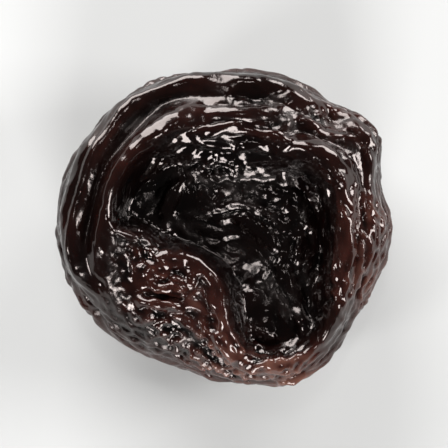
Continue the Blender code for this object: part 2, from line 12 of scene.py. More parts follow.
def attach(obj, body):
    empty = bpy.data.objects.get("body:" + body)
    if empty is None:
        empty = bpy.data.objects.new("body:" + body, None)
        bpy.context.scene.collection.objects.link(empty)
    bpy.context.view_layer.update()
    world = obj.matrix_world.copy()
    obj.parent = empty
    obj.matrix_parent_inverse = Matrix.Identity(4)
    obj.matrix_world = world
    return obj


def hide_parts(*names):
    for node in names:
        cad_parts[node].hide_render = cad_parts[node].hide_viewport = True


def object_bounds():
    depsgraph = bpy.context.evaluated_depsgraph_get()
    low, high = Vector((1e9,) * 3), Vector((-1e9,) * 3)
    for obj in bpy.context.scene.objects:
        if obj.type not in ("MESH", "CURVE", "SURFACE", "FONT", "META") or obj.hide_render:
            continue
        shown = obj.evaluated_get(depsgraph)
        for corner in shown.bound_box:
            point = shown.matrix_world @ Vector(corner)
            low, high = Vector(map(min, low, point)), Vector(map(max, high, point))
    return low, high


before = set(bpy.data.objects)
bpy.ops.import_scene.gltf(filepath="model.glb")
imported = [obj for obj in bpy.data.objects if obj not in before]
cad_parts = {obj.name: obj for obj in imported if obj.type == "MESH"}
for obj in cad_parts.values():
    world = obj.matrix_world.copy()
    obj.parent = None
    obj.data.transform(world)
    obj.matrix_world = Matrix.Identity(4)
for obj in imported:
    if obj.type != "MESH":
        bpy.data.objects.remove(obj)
cad_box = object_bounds()

# The form is made in millimetres and then fitted to the CAD's box. Its looks and the studio are in metres

# The plump body under the folds
MEAN_RADIUS = 17.6
WAIST = 9.0  # height of the widest level
SHOULDER = WAIST + 1  # height from which wrinkles follow the folds
BOWL_LEVEL = WAIST + 3  # height from which the bowl has its full depth
TOP = WAIST + 4  # height from which the skin is all like the top's
TOP_RISE = 8.3
TOP_SQUARENESS = 2.9  # 2 is an ellipse, more is boxier
UNDER_DROP = 9.3
UNDER_SQUARENESS = 2.35
FLAT_CUT = 0.35  # how much the surface it lies on flattens the underside
SECTION_STEPS = 200  # points along each half of the section

# Swells and dents of the outline seen from above: direction in degrees, height, half width in degrees
OUTLINE_SWELLS = (
    (0, 0.4, 20),
    (20, -0.5, 12),
    (38, 2.0, 13),
    (100, -0.8, 25),
    (180, 0.5, 35),
    (218, -0.9, 14),
    (255, -2.2, 24),
    (302, 1.0, 14),
    (340, -0.7, 14),
)

# The middle of the rim, from which the places of the bowl, spots and folds are measured
RIM_MIDDLE = (0.0, -0.5)

# The sunken middle
BOWL_EDGE = (
    (-12.3, 1.8), (-11.4, 4.8), (-9.3, 7.5), (-6.3, 9.5), (-2.4, 10.3), (2.0, 10.1), (5.4, 9.0),
    (8.4, 8.0), (10.8, 6.2), (12.1, 3.2), (12.4, -1.0), (12.4, -6.0), (11.8, -10.0), (9.9, -12.9),
    (7.0, -14.0), (3.9, -13.3), (2.0, -11.3), (1.1, -8.6), (0.4, -6.4), (-1.4, -4.6), (-3.8, -3.6),
    (-6.2, -3.3), (-9.0, -2.0), (-11.8, -1.0),
)
BOWL_DROP = 4.6
BOWL_WALL = 2.2  # width of the slope from the rim down to the floor
BOWL_BRIM = 0.3  # how far outside the edge the slope starts, as a share of its width
EASY_WALL = 3.6  # extra width of the slope on the easy side
EASY_SIDE = 85  # its direction in degrees
EASY_SPREAD = 42  # its half width in degrees


class Spot(NamedTuple):
    """A soft round place seen from above, and how much of something there is in its middle."""

    x: float
    y: float
    radius: float
    amount: float


# Dents, by their depth, and swells, by a negative one
HOLLOWS = (
    Spot(1.5, -2.6, 5.0, 2.0),
    Spot(-3.2, -0.6, 2.6, 0.8),
    Spot(10.8, -2.5, 3.2, 0.8),
    Spot(-8.6, 3.0, 3.2, 0.4),
    Spot(6.0, -11.4, 2.8, 0.7),
    Spot(10.9, 12.9, 1.5, 1.5),
    Spot(8.0, 12.4, 1.1, -0.5),
    Spot(12.2, 6.4, 0.7, -0.5),
    Spot(8.9, 1.6, 0.8, -0.6),
    Spot(6.2, 6.1, 0.7, -0.4),
    Spot(5.9, -1.2, 0.7, -0.4),
    Spot(4.2, -4.6, 0.9, -0.8),
    Spot(6.0, -10.5, 0.9, -0.6),
    Spot(-7.6, -10.7, 0.9, -0.45),
    Spot(-7.1, -12.4, 0.8, -0.4),
    Spot(-5.4, -11.6, 0.8, -0.35),
    Spot(-6.4, -13.8, 0.8, -0.4),
    Spot(-1.6, -14.2, 0.9, -0.5),
    Spot(-3.6, -13.6, 0.8, -0.35),
    Spot(-8.9, -2.8, 0.6, -0.45),
    Spot(-7.8, -3.6, 0.6, -0.4),
    Spot(-9.2, -4.4, 0.6, -0.45),
    Spot(-10.3, -3.4, 0.6, -0.4),
    Spot(-10.9, -5.2, 0.7, -0.4),
    Spot(-1.1, 13.9, 0.6, -0.25),
    Spot(0.9, 13.9, 0.6, -0.25),
    Spot(2.5, 14.3, 0.6, -0.25),
    Spot(5.8, 12.0, 1.0, -0.8),
    Spot(-3.6, 6.4, 0.8, -0.5),
    Spot(-0.8, 5.6, 0.9, -0.5),
    Spot(0.8, 6.6, 0.8, -0.5),
    Spot(-7.6, 9.4, 0.6, -0.4),
)

# Where the skin is smoother, by the share of the wrinkles' height that is lost
SMOOTH_SPOTS = (
    Spot(-9.2, 3.8, 3.0, 0.4),
    Spot(4.5, 7.2, 3.0, 0.3),
    Spot(-3.0, -1.0, 2.6, 0.5),
    Spot(6.0, -10.4, 1.4, 0.7),
    Spot(3.0, -3.0, 4.0, 0.3),
    Spot(9.6, 9.0, 3.2, 0.5),
)

# Where small rounded bumps cover the skin, by their height
PEBBLY_SPOTS = (
    Spot(3.0, -15.0, 3.8, 0.45),
    Spot(8.5, -15.2, 3.8, 0.48),
    Spot(-2.0, -14.0, 2.5, 0.35),
    Spot(9.0, 13.6, 2.0, 0.25),
    Spot(1.0, 15.0, 2.0, 0.15),
    Spot(-8.8, -3.9, 2.6, 0.36),
    Spot(-6.0, -11.5, 3.5, 0.32),
    Spot(-4.5, -7.0, 2.5, 0.2),
    Spot(-1.6, 6.0, 2.6, 0.25),
    Spot(4.0, 1.8, 4.0, 0.2),
    Spot(7.6, -3.4, 3.4, 0.2),
    Spot(15.0, -6.0, 4.0, 0.32),
    Spot(15.6, 3.0, 3.0, 0.2),
    Spot(15.0, 11.0, 2.5, 0.2),
)
PEBBLE = 1.5  # the distance between two bumps
FINE_PEBBLE = 0.95  # the distance between two of the finest bumps
FINE_PEBBLE_SHARE = 0.4  # their height, as a share of the other bumps'

# Where the skin is redder: the flap, the rim at the bottom and right, the groove at the upper left
RED_SPOTS = (
    Spot(-5.5, -8.0, 5.0, 0.45),
    Spot(2.0, -14.5, 4.5, 0.85),
    Spot(9.0, -15.0, 3.5, 0.75),
    Spot(15.5, 3.0, 3.2, 0.45),
    Spot(15.8, -4.0, 4.0, 0.5),
    Spot(10.5, 13.0, 3.5, 0.35),
    Spot(-12.0, 8.0, 3.5, 0.2),
    Spot(-4.0, 12.5, 3.5, 0.2),
)
REDNESS = 0.13  # of the skin between those spots
REDNESS_SPREAD = 0.07  # how much it varies
REDNESS_WAVE = 8.0  # and over what distance
UNDER_RED_SHARE = 0.15  # how much of a spot's red is left on the underside
UNDER_RED_HEIGHT = WAIST - 3  # up to here
BOWL_PAINTED_SHADE = 0.8  # painted shade: the share of the red that is taken out in the bowl, to make it near black
BOWL_SHADE_EDGE = (-0.6, 0.8)  # distances inside the bowl's edge between which that painted shade comes in

# Where the skin is wetter, so that its bumps glint: the flap and the rim at the bottom
WET_SPOTS = (
    Spot(-6.5, -6.5, 4.5, 0.75),
    Spot(4.0, -14.6, 3.5, 0.4),
    Spot(9.0, -15.0, 3.0, 0.4),
)
WALL_TOP = (-1.0, 0.5)  # distances inside the bowl's edge where its sleek wall starts and is whole
WALL_FOOT = (4.0, 2.0)  # and where, from the floor up, it starts and is whole

# How high the skin lies on its wrinkles and ridges, from 0 to about 1; it sets the colour, redder on the
# crests and near black in the valleys as painted shade
HIGH_RISE = 0.45  # how far a wrinkle stands out where the skin has its full colour
FLAT_CREST = 0.06  # of skin that neither rises nor sinks
RIDGE_CREST = 0.45  # what the crest of a ridge adds


class Fold(NamedTuple):
    """A ridge that follows a curve over the top, or a crease straight down if its height is negative."""

    points: tuple
    height: float
    half_width: float
    lean: float = 0.0  # how far the crest is pushed sideways, to the left of the curve's run


FOLD_HEIGHT = 1.3  # of a fold of height 1
FOLD_END = 5.0  # the length over which a long fold rises at each end
FOLD_END_SHARE = 0.35  # and the share of its length over which a short one does
FOLD_UNEVENNESS = 0.3  # how much a fold's height varies along it
FOLD_WAVE = 6.0  # and over what distance
FOLD_SLOPES = (0.1, 0.75)  # upward shares of the normal where folds start and where they are whole
FOLD_REACH = 4  # how far a fold is felt, in half widths
CREASE_END = 20  # half widths from a crease where its depth is nothing
CREST_FLATNESS = 2.5  # 2 makes a ridge a parabola across, more makes its crest flatter
CREST_SMOOTHNESS = 0.6  # the share of the wrinkles' height that is lost on the crest of a ridge
FINE_CREST_SMOOTHNESS = 0.5  # the share of the finest bumps' height that is lost there
CREST_NARROWNESS = 2  # how fast a crest's share falls off, more is faster
CREST_REACH = 2  # how far a crest is felt, in half widths
CREST_UNEVENNESS = 0.07  # how far the crest of a ridge rises and falls along its run
CREST_WAVE = 1.8  # over what distance

FOLDS = (
    # the bead round the left and the top of the rim
    Fold(((-14.2, -10.8), (-16.2, -6.6), (-17.1, -1.0), (-16.7, 3.4), (-15.5, 7.4), (-13.4, 11.2),
          (-10.6, 14.0), (-7.3, 15.5), (-3.6, 16.2), (0.6, 16.4), (4.4, 16.2), (7.6, 15.4), (10.4, 14.2)),
         0.7, 1.6, 0.4),
    # the thin ridge inside the bead
    Fold(((-14.4, -8.8), (-15.5, -6.4), (-15.9, -3.4), (-15.7, 0.0), (-15.3, 3.2), (-14.6, 6.0),
          (-13.6, 8.2), (-12.5, 10.2), (-11.1, 12.0), (-9.4, 13.4), (-7.4, 14.4), (-5.0, 15.0)), 0.5, 0.6),
    # the crease between the thin ridge and the lip
    Fold(((-14.4, -4.2), (-14.4, -1.0), (-13.9, 2.2), (-13.2, 5.2), (-11.7, 8.1), (-9.9, 10.6),
          (-7.8, 12.9), (-5.0, 14.2), (-2.0, 14.8)), -0.45, 0.6),
    # the lip on the left, over the bowl
    Fold(((-12.9, -8.0), (-13.4, -5.8), (-13.4, -2.4), (-13.0, 1.2), (-12.5, 4.0), (-11.4, 6.5),
          (-9.6, 8.8), (-7.5, 10.7), (-5.8, 11.8), (-4.0, 12.5), (-1.8, 12.8)), 0.85, 1.7, -0.3),
    # thin folds over the top of the bowl
    Fold(((-5.0, 12.3), (-2.4, 12.6), (0.3, 12.6), (2.6, 12.9), (4.8, 13.4), (7.0, 14.2)), 0.55, 0.9),
    Fold(((-5.4, 9.2), (-3.4, 10.0), (-1.4, 10.6), (0.8, 11.1), (3.0, 11.6)), 0.5, 0.8),
    Fold(((-2.0, 14.3), (0.6, 14.5), (3.4, 14.6), (6.4, 14.9)), -0.4, 0.5),
    Fold(((1.0, 10.5), (3.0, 10.8), (4.9, 10.3), (7.2, 9.9)), 0.45, 0.7),
    Fold(((0.4, 8.8), (2.6, 9.2), (4.4, 8.8)), 0.4, 0.5),
    Fold(((8.2, 7.4), (9.8, 7.2), (11.2, 6.2), (12.0, 4.8)), 0.5, 0.8),
    # the right-hand lip, from the top down to the lower right
    Fold(((5.0, 7.6), (6.7, 9.0), (9.0, 9.5), (11.1, 8.7), (12.6, 7.4), (13.3, 5.6), (13.5, 3.0),
          (13.5, -1.0), (13.5, -5.0), (13.3, -8.6), (12.4, -11.4), (10.8, -13.4)), 0.95, 1.6, -0.3),
    Fold(((4.6, 10.4), (6.4, 11.1), (9.0, 11.4), (11.6, 10.5), (13.6, 9.0)), -0.6, 0.8),
    # ridges down the right-hand rim, and the creases between them
    Fold(((7.0, 14.0), (8.9, 15.0), (10.9, 14.6), (12.6, 13.5), (14.2, 12.5), (15.4, 10.8), (15.8, 8.7),
          (16.2, 6.0), (16.7, 3.0), (16.9, 0.4)), 0.6, 0.9),
    Fold(((13.4, 8.8), (14.1, 7.2), (14.8, 5.0), (15.6, 2.8), (16.1, 0.6), (16.3, -2.4), (15.8, -5.8)),
         0.5, 0.6),
    Fold(((13.9, 5.6), (14.6, 3.0), (15.1, 0.4), (15.2, -2.4), (15.0, -5.4), (14.6, -8.4), (13.7, -11.0)),
         0.45, 0.6),
    Fold(((14.6, 8.8), (15.2, 6.6), (15.9, 4.4), (16.6, 2.0), (17.2, -1.4), (16.9, -4.8)), 0.45, 0.55),
    Fold(((14.2, 1.6), (14.3, -1.6), (14.1, -4.8), (14.2, -7.6)), 0.4, 0.5),
    Fold(((14.0, 6.6), (14.2, 3.2), (14.3, -0.6), (14.2, -4.6), (14.0, -8.0)), -0.45, 0.35),
    Fold(((14.7, 8.6), (15.4, 5.8), (16.0, 3.2), (16.5, 0.8)), -0.4, 0.35),
    Fold(((11.8, -14.4), (13.3, -13.0), (14.5, -11.5)), 0.6, 0.9),
    # below the dimple
    Fold(((6.6, 12.6), (8.6, 12.0), (11.0, 11.3), (13.2, 11.1), (14.8, 10.9)), 0.5, 0.8),
    # the flap that folds in from the lower left: its upper edge, its lip and the ridge behind the lip
    Fold(((-12.9, -0.4), (-11.6, -1.1), (-10.2, -1.6), (-8.4, -1.6), (-6.9, -2.1)), 0.7, 1.1),
    Fold(((-8.4, -7.2), (-6.6, -5.3), (-5.3, -4.2), (-3.9, -3.4), (-2.2, -4.2), (-0.7, -5.6), (0.1, -7.0),
          (0.4, -9.2), (0.9, -11.5), (2.2, -13.6), (4.2, -14.7), (7.0, -15.1), (9.6, -14.8), (11.8, -13.4)),
         0.75, 1.4, 0.4),
    Fold(((-1.4, -9.0), (-1.0, -10.6), (-0.3, -12.1), (1.2, -13.6), (2.9, -14.8), (5.0, -15.6),
          (7.0, -16.1)), 0.5, 0.8),
    Fold(((-0.6, -8.4), (-0.3, -10.2), (0.4, -12.0)), -0.4, 0.4),
    # across the flap
    Fold(((-2.7, -4.9), (-3.1, -6.1), (-3.4, -7.4)), 0.45, 0.8),
    Fold(((-5.6, -6.3), (-4.4, -6.7), (-3.2, -7.0)), 0.45, 0.7),
    Fold(((-8.6, -7.0), (-5.6, -7.5), (-2.4, -7.8)), 0.5, 0.7),
    Fold(((-9.8, -9.7), (-7.8, -9.0), (-4.4, -9.2), (-1.9, -8.8)), 0.6, 0.9),
    Fold(((-9.4, -8.3), (-6.0, -8.2), (-2.6, -8.4)), -0.6, 0.3),
    # on the floor of the bowl
    Fold(((-4.7, 5.6), (-5.6, 4.0), (-6.4, 1.9), (-7.5, -0.5)), 0.5, 0.9),
    Fold(((0.6, 0.8), (2.2, 0.9), (3.8, 0.2), (5.2, -0.8), (6.8, -1.4)), 0.45, 0.9),
    Fold(((9.0, 5.4), (10.1, 3.8), (10.9, 1.8)), 0.7, 0.5),
    Fold(((8.6, -7.6), (9.9, -9.4), (11.0, -11.5), (11.5, -13.0)), 0.8, 0.9),
    Fold(((1.6, -11.1), (3.1, -12.8), (5.0, -13.5), (6.9, -13.5), (8.8, -12.8), (9.8, -11.4)), 0.5, 0.7),
    Fold(((3.2, -11.6), (4.4, -11.2), (6.0, -11.6), (7.1, -12.2)), 0.5, 0.7),
    Fold(((7.0, -2.2), (6.5, -3.6), (6.9, -5.2)), 0.4, 0.6),
    Fold(((8.9, 0.0), (8.4, -1.6), (8.8, -3.4)), 0.4, 0.6),
    # the crease under the right-hand lip
    Fold(((4.8, 7.3), (7.0, 6.2), (8.9, 4.5), (10.4, 2.0), (11.2, -1.5), (11.5, -4.5), (11.5, -7.5),
          (11.0, -9.6)), -0.9, 0.8),
)


class Wrinkles(NamedTuple):
    """A family of wrinkles that run along the folds, or stray from them."""

    spacing: float
    height: float
    sharpness: float  # how narrow the valleys are against the ridges
    top_share: float  # how much of the height is left on the top
    stray: float  # how far their runs wander, in radians
    stray_size: float  # over what distance they wander
    seed: int


WRINKLES = (
    Wrinkles(spacing=7.0, height=0.75, sharpness=1.0, top_share=0.0, stray=0.9, stray_size=14, seed=5),
    Wrinkles(spacing=3.4, height=0.76, sharpness=1.3, top_share=0.43, stray=0.8, stray_size=9, seed=3),
    Wrinkles(spacing=2.0, height=0.48, sharpness=1.3, top_share=0.75, stray=1.1, stray_size=5, seed=8),
)
FINE_WRINKLES = (
    Wrinkles(spacing=1.15, height=0.27, sharpness=1.1, top_share=0.63, stray=1.3, stray_size=3, seed=13),
)
STREAKS = 1.8  # how much stronger the finest wrinkles are on the crest of a ridge
OUTER_SHARE = 2.2  # and on the outer side of the rim
OUTER_SLOPES = (0.75, 0.35)  # upward shares of the normal where the outer side starts and is whole
OUTER_DISTANCES = (-1.5, -3.5)  # and distances inside the bowl's edge, negative outside it

# The run of the wrinkles
UNDERSIDE = (6.0, 1.5)  # heights where the underside starts and where it is whole
UNDER_STRAY = 1.2  # how far wrinkles wander there, in radians
UNDER_WAVE = 14.0  # and over what distance
BOWL_FLOOR = (1, 4)  # distances inside the bowl's edge where the floor starts and where it is whole
BOWL_STRAY = 3.0  # how far wrinkles wander there
BOWL_WAVE = 7.0  # and over what distance
ROUND_PULL = 0.35  # how strongly wrinkles keep to their own run, against 1 for that of a fold
FOLD_GRIP = 2.2  # how far from a fold they follow it

# The waves that a family of wrinkles is made of
SKIN_AREA = 3300.0  # about
WAVE_GAP = 0.6  # the least distance between two waves' centres, in spacings
WAVE_REACH = 1.8  # how far a wave is felt, in spacings
WAVE_WIDTH = 0.75  # how wide a wave is, in spacings
LEAST_WEIGHT = 0.05  # what lets the wrinkles die out far from every wave
CANDIDATES = 30  # places tried for a centre, for each square of the spacing
SETTLING_ROUNDS = 5
SPACING_SPREAD = 0.35  # how much the spacing varies
SPACING_WAVE = 3  # and over what distance, in spacings
FADE = 0.8  # the mean height of the wrinkles, as a share of the family's
FADE_SPREAD = 0.5  # how much it varies
FADE_WAVE = 3.5  # and over what distance, in spacings
VALLEY_ROUNDING = 0.01  # how rounded the bottom of a sharp valley is
FOLDED_MEAN = 1.2  # what a wave with sharp valleys is lowered by, to swing evenly about 0

# The strength of the wrinkles
SLEEK_SIDE = 155  # direction in degrees of the side on which the rim is smoother
SLEEK_SIDE_SHARES = (0.25, 0.75)  # where that side starts and where it is whole, 1 being its middle
SLEEK_RIM = (0.58, 0.7)  # shares of the outline's radius where the rim starts and where it is whole
SLEEK_RIM_LOSS = 0.7  # the share of the wrinkles' height that is lost on it
STRENGTH = 0.85  # the mean strength elsewhere
STRENGTH_SPREAD = 0.3  # how much it varies
STRENGTH_WAVE = 9.0  # and over what distance
RESTING_SPOT = (5.0, 9.0)  # distances from its middle where wrinkles start and where they are whole
UPWARD_WEIGHT = 2  # how much faster those distances grow straight up than sideways

# Smooth noise
DRIFT_WAVES = 14
JUMBLE_SHARES = (0.85, 1.0, 1.2)  # the lengths of a jumble's waves, as shares of its size

# The mesh
CURVE_STRIDE = 8  # a curve's nearest point is first looked for among every eighth one
BALL_FREQUENCY = 78  # parts of an edge of the icosahedron that the mesh starts from
LONGEST_EDGE = 0.36  # longer edges are split
SPLITTING_ROUNDS = 2

# The colours of the skin, from the valleys up: the valleys' near black is painted shade, the crests' red is
# the skin's own
SHADED_VALLEY_COLOUR = (0.001, 0.0006, 0.0006, 1)
SLOPE_COLOUR = (0.022, 0.0066, 0.005, 1)
SLOPE_LEVEL = 0.35  # where between the valleys, 0, and the crests, 1, the skin has that colour
CREST_COLOUR = (0.095, 0.041, 0.03, 1)
GLINT_COLOUR = (1.0, 0.88, 0.84, 1)

# The glow of light that went in and comes out again
GLOW_SHARE = 0.06
GLOW_COLOUR_REACH = (1.0, 0.25, 0.12)  # how far red, green and blue go, as shares of the reach
GLOW_REACH = 0.0015

# The gloss, and the grain that is too fine for the mesh
SLEEK_RANGE = (0.2, 0.8)  # how sleek the skin is where it still counts as dull and where it is all sleek
DRYNESS_SCALE = 380  # swells to a metre
DRYNESS_RANGE = (0.35, 0.65)  # the noise of wet and of dry skin
ROUGHNESS = (0.08, 0.30)  # of wet and of dry skin
SLEEK_ROUGHNESS = (1.0, 0.55)  # the share of it that dull and sleek skin have
GRAIN_SCALE = 1400  # swells to a metre
GRAIN_DEPTH = 0.00015
GRAIN_STRENGTH = (0.6, 0.25)  # of dull and of sleek skin
NOISE_DETAIL = 4

# The studio
FLOOR_SIZE = 3
FLOOR_COLOUR = (0.48, 0.48, 0.475, 1)
FLOOR_ROUGHNESS = 0.7
WORLD_COLOUR = (1, 1, 1, 1)
WORLD_STRENGTH = 0.05
LIGHTS_AIM = Vector((0, 0, 0.01))
CAMERA_LENS = 440  # focal length in millimetres
CAMERA_OFFSET = Vector((0.005, -0.053, 0.60))  # from the middle of the prune


class Light(NamedTuple):
    """A soft square light of the studio, its size in metres and its power in watts."""

    name: str
    place: tuple
    size: float
    power: float


LIGHTS = (
    Light("window", (-0.38, 0.68, 0.26), 0.65, 17.0),
    Light("panel", (0.35, 0.6, 0.2), 0.3, 4.0),
    Light("side", (0.6, 0.1, 0.3), 0.25, 4.0),
    Light("front", (0.1, -0.6, 0.3), 0.3, 5.5),
    Light("left", (-0.5, -0.4, 0.36), 0.15, 2.0),
    Light("overhead", (0.0, 0.2, 0.85), 0.08, 0.5),
)


def smoothstep(low, high, value):
    t = np.clip((value - low) / (high - low), 0, 1)
    return t * t * (3 - 2 * t)


def unit(vectors):
    return vectors / np.maximum(np.linalg.norm(vectors, axis=1, keepdims=True), 1e-12)


def smooth_curve(points, closed=False, step=0.04):
    """Points a step apart on a Catmull-Rom curve through the given ones."""
    points = np.array(points, float)
    if closed:
        padded = np.vstack([points[-1], points, points[:2]])
    else:
        padded = np.vstack([2 * points[0] - points[1], points, 2 * points[-1] - points[-2]])
    pieces = []
    for a, b, c, d in zip(padded, padded[1:], padded[2:], padded[3:]):
        t = np.linspace(0, 1, max(2, math.ceil(np.linalg.norm(c - b) / step)), endpoint=False)[:, None]
        pieces.append(b + (c - a) * t / 2 + (2 * a - 5 * b + 4 * c - d) * t**2 / 2
                      + (3 * b - a - 3 * c + d) * t**3 / 2)
    if not closed:
        pieces.append(points[-1:])
    return np.vstack(pieces)


def tangents_of(curve, closed=False):
    if closed:
        run = np.roll(curve, -1, axis=0) - np.roll(curve, 1, axis=0)
    else:
        run = np.gradient(curve, axis=0)
    return unit(run)


def along_and_across(curve, tangents, places):
    """For each place: how far along the curve its nearest point is, how far past an end it lies, its
    distance to the left of the curve, and the curve's direction there."""
    lengths = np.concatenate([[0], np.cumsum(np.linalg.norm(np.diff(curve, axis=0), axis=1))])
    gaps = ((places[:, None, :] - curve[None, ::CURVE_STRIDE, :]) ** 2).sum(axis=2)
    around = gaps.argmin(axis=1)[:, None] * CURVE_STRIDE + np.arange(-CURVE_STRIDE, CURVE_STRIDE + 1)
    around %= len(curve)
    gaps = ((places[:, None, :] - curve[around]) ** 2).sum(axis=2)
    nearest = around[np.arange(len(places)), gaps.argmin(axis=1)]
    offset = places - curve[nearest]
    run = tangents[nearest]
    forward = (offset * run).sum(axis=1)
    across = run[:, 0] * offset[:, 1] - run[:, 1] * offset[:, 0]
    along = lengths[nearest] + forward
    beyond = np.maximum(0, np.maximum(-along, along - lengths[-1]))
    return np.clip(along, 0, lengths[-1]), beyond, across, run, lengths[-1]


def bump_at(angle, centre, half_width):
    """1 in the direction of centre, falling off over half_width to either side, both in degrees."""
    away = np.angle(np.exp(1j * (angle - math.radians(centre))))
    return np.exp(-((away / math.radians(half_width)) ** 2))


def from_rim(points):
    """Places seen from above, measured from the middle of the rim."""
    return points[:, :2] - RIM_MIDDLE


def bump_round(points, spot):
    """1 in the middle of a spot, falling off over its radius."""
    return np.exp(-((from_rim(points) - (spot.x, spot.y)) ** 2).sum(axis=1) / spot.radius**2)


def amount_of(points, spots):
    """How much there is, at each point, of what the spots have in their middles."""
    return sum(spot.amount * bump_round(points, spot) for spot in spots)


def outline_radius(angle):
    radius = np.full_like(angle, MEAN_RADIUS)
    for centre, height, half_width in OUTLINE_SWELLS:
        radius += height * bump_at(angle, centre, half_width)
    return radius


def section():
    """The body's half section from the top's middle to the underside's, as radius shares and heights
    at even steps of arc length."""
    steps = np.linspace(0, math.pi / 2, SECTION_STEPS)
    top = np.stack([np.sin(steps) ** (2 / TOP_SQUARENESS),
                    WAIST + TOP_RISE * np.cos(steps) ** (2 / TOP_SQUARENESS)], axis=1)
    under = np.stack([np.cos(steps) ** (2 / UNDER_SQUARENESS),
                      WAIST - UNDER_DROP * np.sin(steps) ** (2 / UNDER_SQUARENESS)], axis=1)
    line = np.vstack([top, under[1:]])
    run = np.hypot(np.diff(line[:, 0]) * MEAN_RADIUS, np.diff(line[:, 1]))
    share = np.concatenate([[0], np.cumsum(run)])
    return share / share[-1], line[:, 0], line[:, 1]


def plump_body(directions):
    """Points of the body without folds, for unit directions from its middle."""
    polar = np.arccos(np.clip(directions[:, 2], -1, 1)) / math.pi
    angle = np.arctan2(directions[:, 1], directions[:, 0])
    share, radii, heights = section()
    radius = np.interp(polar, share, radii) * outline_radius(angle)
    height = np.interp(polar, share, heights)
    return np.stack([radius * np.cos(angle), radius * np.sin(angle), height], axis=1)


def depth_in_bowl(points):
    """Distance inside the bowl's edge, negative outside it."""
    edge = smooth_curve(BOWL_EDGE, closed=True)
    across = along_and_across(edge, tangents_of(edge, closed=True), from_rim(points))[2]
    return -across


def normals_of(form, directions, step=0.01, askew=(0.31, 0.17, 0.94)):
    """Outward normals of a form made from directions, by small steps to either side, the first of them
    square to the direction and to the askew one."""
    one = unit(np.cross(directions, askew))
    two = np.cross(directions, one)
    slope_one = form(unit(directions + step * one)) - form(unit(directions - step * one))
    slope_two = form(unit(directions + step * two)) - form(unit(directions - step * two))
    return unit(np.cross(slope_one, slope_two))


def folded_body(directions):
    """Points of the body with its bowl, hollows and main folds."""
    body = plump_body(directions)
    normals = normals_of(plump_body, directions)
    angle = np.arctan2(body[:, 1], body[:, 0])
    on_top = smoothstep(WAIST, BOWL_LEVEL, body[:, 2])
    upward = smoothstep(*FOLD_SLOPES, normals[:, 2])
    wall = BOWL_WALL + EASY_WALL * bump_at(angle, EASY_SIDE, EASY_SPREAD)
    drop = BOWL_DROP * smoothstep(-BOWL_BRIM, 1, depth_in_bowl(body) / wall)
    for hollow in HOLLOWS:
        drop += hollow.amount * bump_round(body, hollow)
    plan = from_rim(body)
    uneven = 1 + FOLD_UNEVENNESS * drift(body, FOLD_WAVE, seed=41)
    body[:, 2] -= on_top * drop
    for fold in FOLDS:
        height = FOLD_HEIGHT * fold.height
        push = normals if height > 0 else np.broadcast_to((0.0, 0.0, 1.0), normals.shape)
        landing = plan + height * push[:, :2]
        curve = smooth_curve(fold.points)
        reach = FOLD_REACH * fold.half_width
        inside = (landing > curve.min(axis=0) - reach) & (landing < curve.max(axis=0) + reach)
        near = np.flatnonzero(inside.all(axis=1) & (upward > 0))
        along, beyond, across, run, length = along_and_across(curve, tangents_of(curve), landing[near])
        end = min(FOLD_END_SHARE * length, FOLD_END)
        taper = smoothstep(0, end, np.minimum(along, length - along))
        away = np.hypot(across, beyond) / fold.half_width
        if height > 0:
            profile = np.clip(1 - away**CREST_FLATNESS, 0, 1)
        else:
            profile = 1 / np.cosh(np.minimum(away, CREASE_END)) ** 2
        rise = upward[near] * uneven[near] * taper * profile
        body[near] += height * rise[:, None] * push[near]
        body[near, 0] -= fold.lean * rise * run[:, 1]
        body[near, 1] += fold.lean * rise * run[:, 0]
    return body


def drift(points, wavelength, seed):
    """Smooth noise of about that wavelength, from -1 to 1: a sum of seeded plane waves."""
    draw = np.random.default_rng(seed)
    waves = draw.normal(size=(DRIFT_WAVES, 3))
    waves *= 2 * math.pi / wavelength / np.linalg.norm(waves, axis=1, keepdims=True)
    phases = draw.uniform(0, 2 * math.pi, DRIFT_WAVES)
    return np.cos(points @ waves.T + phases).mean(axis=1) * 2


def jumble(points, size, seed):
    """Smooth noise like drift, of waves of unlike lengths, so that its bumps of about that size stand in
    no rows."""
    parts = [drift(points, size * share, seed + index) for index, share in enumerate(JUMBLE_SHARES)]
    return sum(parts) / math.sqrt(len(parts))


def even_directions(count):
    """Unit directions spread evenly by the golden angle."""
    index = np.arange(count) + 0.5
    height = 1 - 2 * index / count
    angle = index * math.pi * (3 - math.sqrt(5))
    ring = np.sqrt(1 - height**2)
    return np.stack([ring * np.cos(angle), ring * np.sin(angle), height], axis=1)


def wrinkle_runs(centres, normals, family):
    """The direction in which wrinkles run at each centre: along the folds on the top, round the sides,
    and anyhow underneath, always straying a little."""
    round_body = unit(np.stack([-centres[:, 1], centres[:, 0], np.zeros(len(centres))], axis=1))
    east = unit(round_body - normals * (round_body * normals).sum(axis=1, keepdims=True))
    north = np.cross(normals, east)
    under = smoothstep(*UNDERSIDE, centres[:, 2])
    in_bowl = smoothstep(*BOWL_FLOOR, depth_in_bowl(centres)) * (centres[:, 2] > WAIST)
    loose = UNDER_STRAY * under * drift(centres, UNDER_WAVE, family.seed)
    loose += BOWL_STRAY * in_bowl * drift(centres, BOWL_WAVE, family.seed + 4)
    turn = ROUND_PULL * np.exp(2j * loose)
    on_top = smoothstep(SHOULDER, TOP, centres[:, 2])
    for fold in FOLDS:
        curve = smooth_curve(fold.points)
        beyond, across, run = along_and_across(curve, tangents_of(curve), from_rim(centres))[1:4]
        lifted = np.column_stack([run, np.zeros(len(run))])
        angle = np.arctan2((lifted * north).sum(axis=1), (lifted * east).sum(axis=1))
        near = on_top * np.exp(-((across**2 + beyond**2) / FOLD_GRIP**2))
        turn = turn + near * np.exp(2j * angle)
    angle = np.angle(turn) / 2 + family.stray * drift(centres, family.stray_size, family.seed + 2)
    return unit(east * np.cos(angle)[:, None] + north * np.sin(angle)[:, None])


